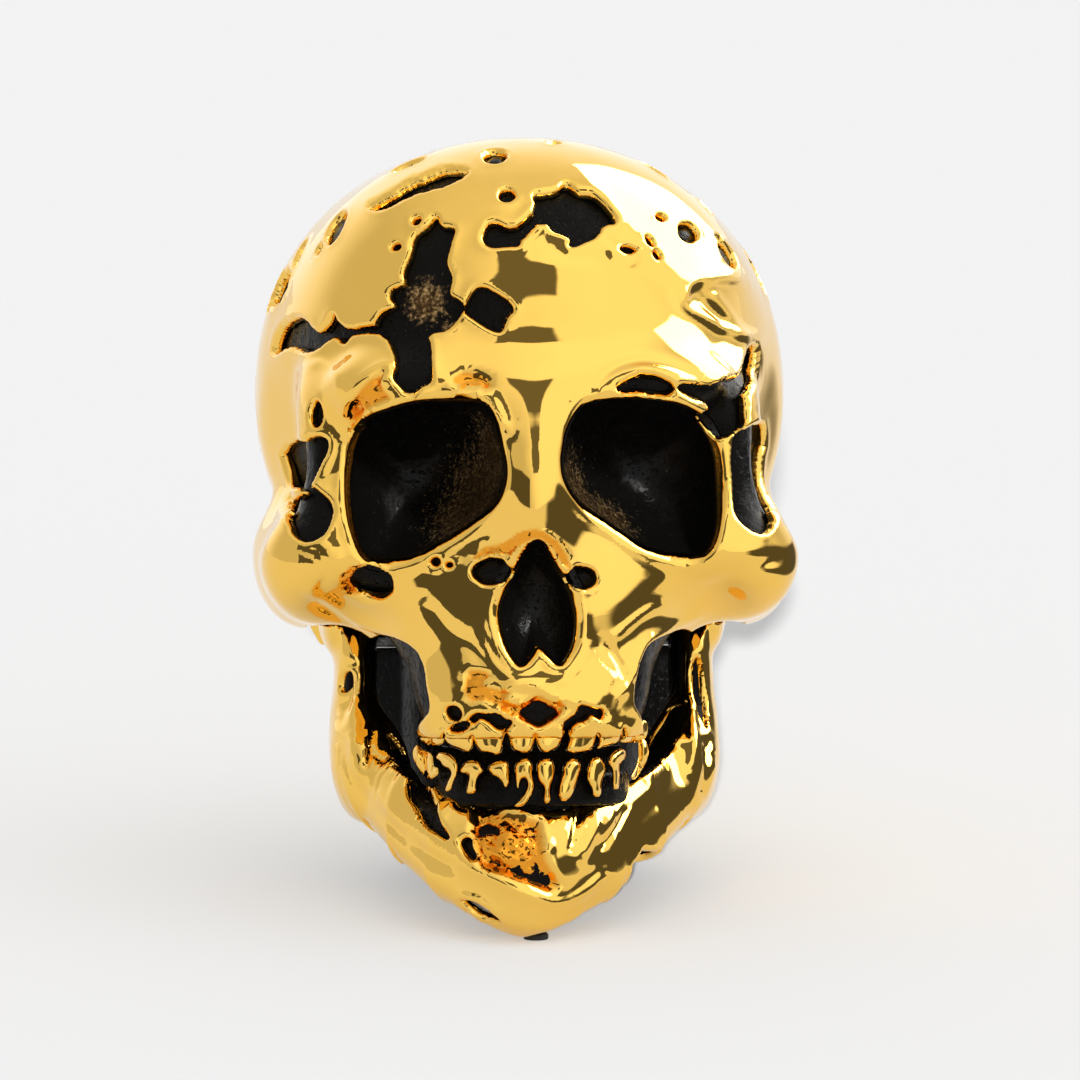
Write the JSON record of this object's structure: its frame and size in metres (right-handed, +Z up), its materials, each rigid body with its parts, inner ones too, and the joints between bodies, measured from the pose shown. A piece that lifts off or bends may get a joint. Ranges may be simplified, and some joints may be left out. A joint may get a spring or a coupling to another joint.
{
  "type": "skull ornament",
  "caption": "Decorative human skull with a broken polished gold skin over a glossy black core, a hinged lower jaw and a plain black neck to stand on.",
  "frame": {"origin": "on the surface that the ornament stands on, at the middle of its bounding box", "axes": "+Z up, the face looks towards -Y and is leant back, +X is to the right as seen from the front"},
  "size_m": [0.1022, 0.1304, 0.1427],
  "materials": {
    "gold": "mirror-polished warm gold skin with rounded broken edges",
    "black_core": "glossy pitted black moulding with worn bronze patches",
    "black_bowl": "wet-looking glossy black bowl, scratched, with bronze speckle",
    "steel": "plain turned steel",
    "nylon": "natural nylon",
    "felt": "black felt"
  },
  "bodies": {
    "skull": {"face_shell": "gold", "rear_shell": "gold", "core_front": "black_core", "core_rear": "black_core", "eye_cup_left": "black_bowl", "eye_cup_right": "black_bowl", "nose_cup": "black_bowl", "upper_gum": "black_core", "upper_tooth_1": "gold", "upper_tooth_2": "gold", "upper_tooth_3": "gold", "upper_tooth_4": "gold", "upper_tooth_5": "gold", "upper_tooth_6": "gold", "upper_tooth_7": "gold", "upper_tooth_8": "gold", "hinge_pin_left": "steel", "hinge_pin_right": "steel", "neck": "black_core", "neck_screw_1": "steel", "neck_screw_2": "steel", "neck_screw_3": "steel", "neck_screw_4": "steel", "base_cap": "black_core", "base_pad": "felt"},
    "jaw": {"jaw_shell": "gold", "jaw_core": "black_core", "lower_gum": "black_core", "lower_tooth_1": "gold", "lower_tooth_2": "gold", "lower_tooth_3": "gold", "lower_tooth_4": "gold", "lower_tooth_5": "gold", "lower_tooth_6": "gold", "lower_tooth_7": "gold", "lower_tooth_8": "gold", "lower_tooth_9": "gold", "lower_tooth_10": "gold", "hinge_bush_left": "nylon", "hinge_bush_right": "nylon", "chin_pad": "felt"}
  },
  "joints": [
    {"name": "jaw_hinge", "type": "hinge", "parent": "skull", "child": "jaw", "pos_m": [0, -0.00041, 0.05301], "axis": [1, 0, 0], "range_deg": [0, 20]}
  ]
}
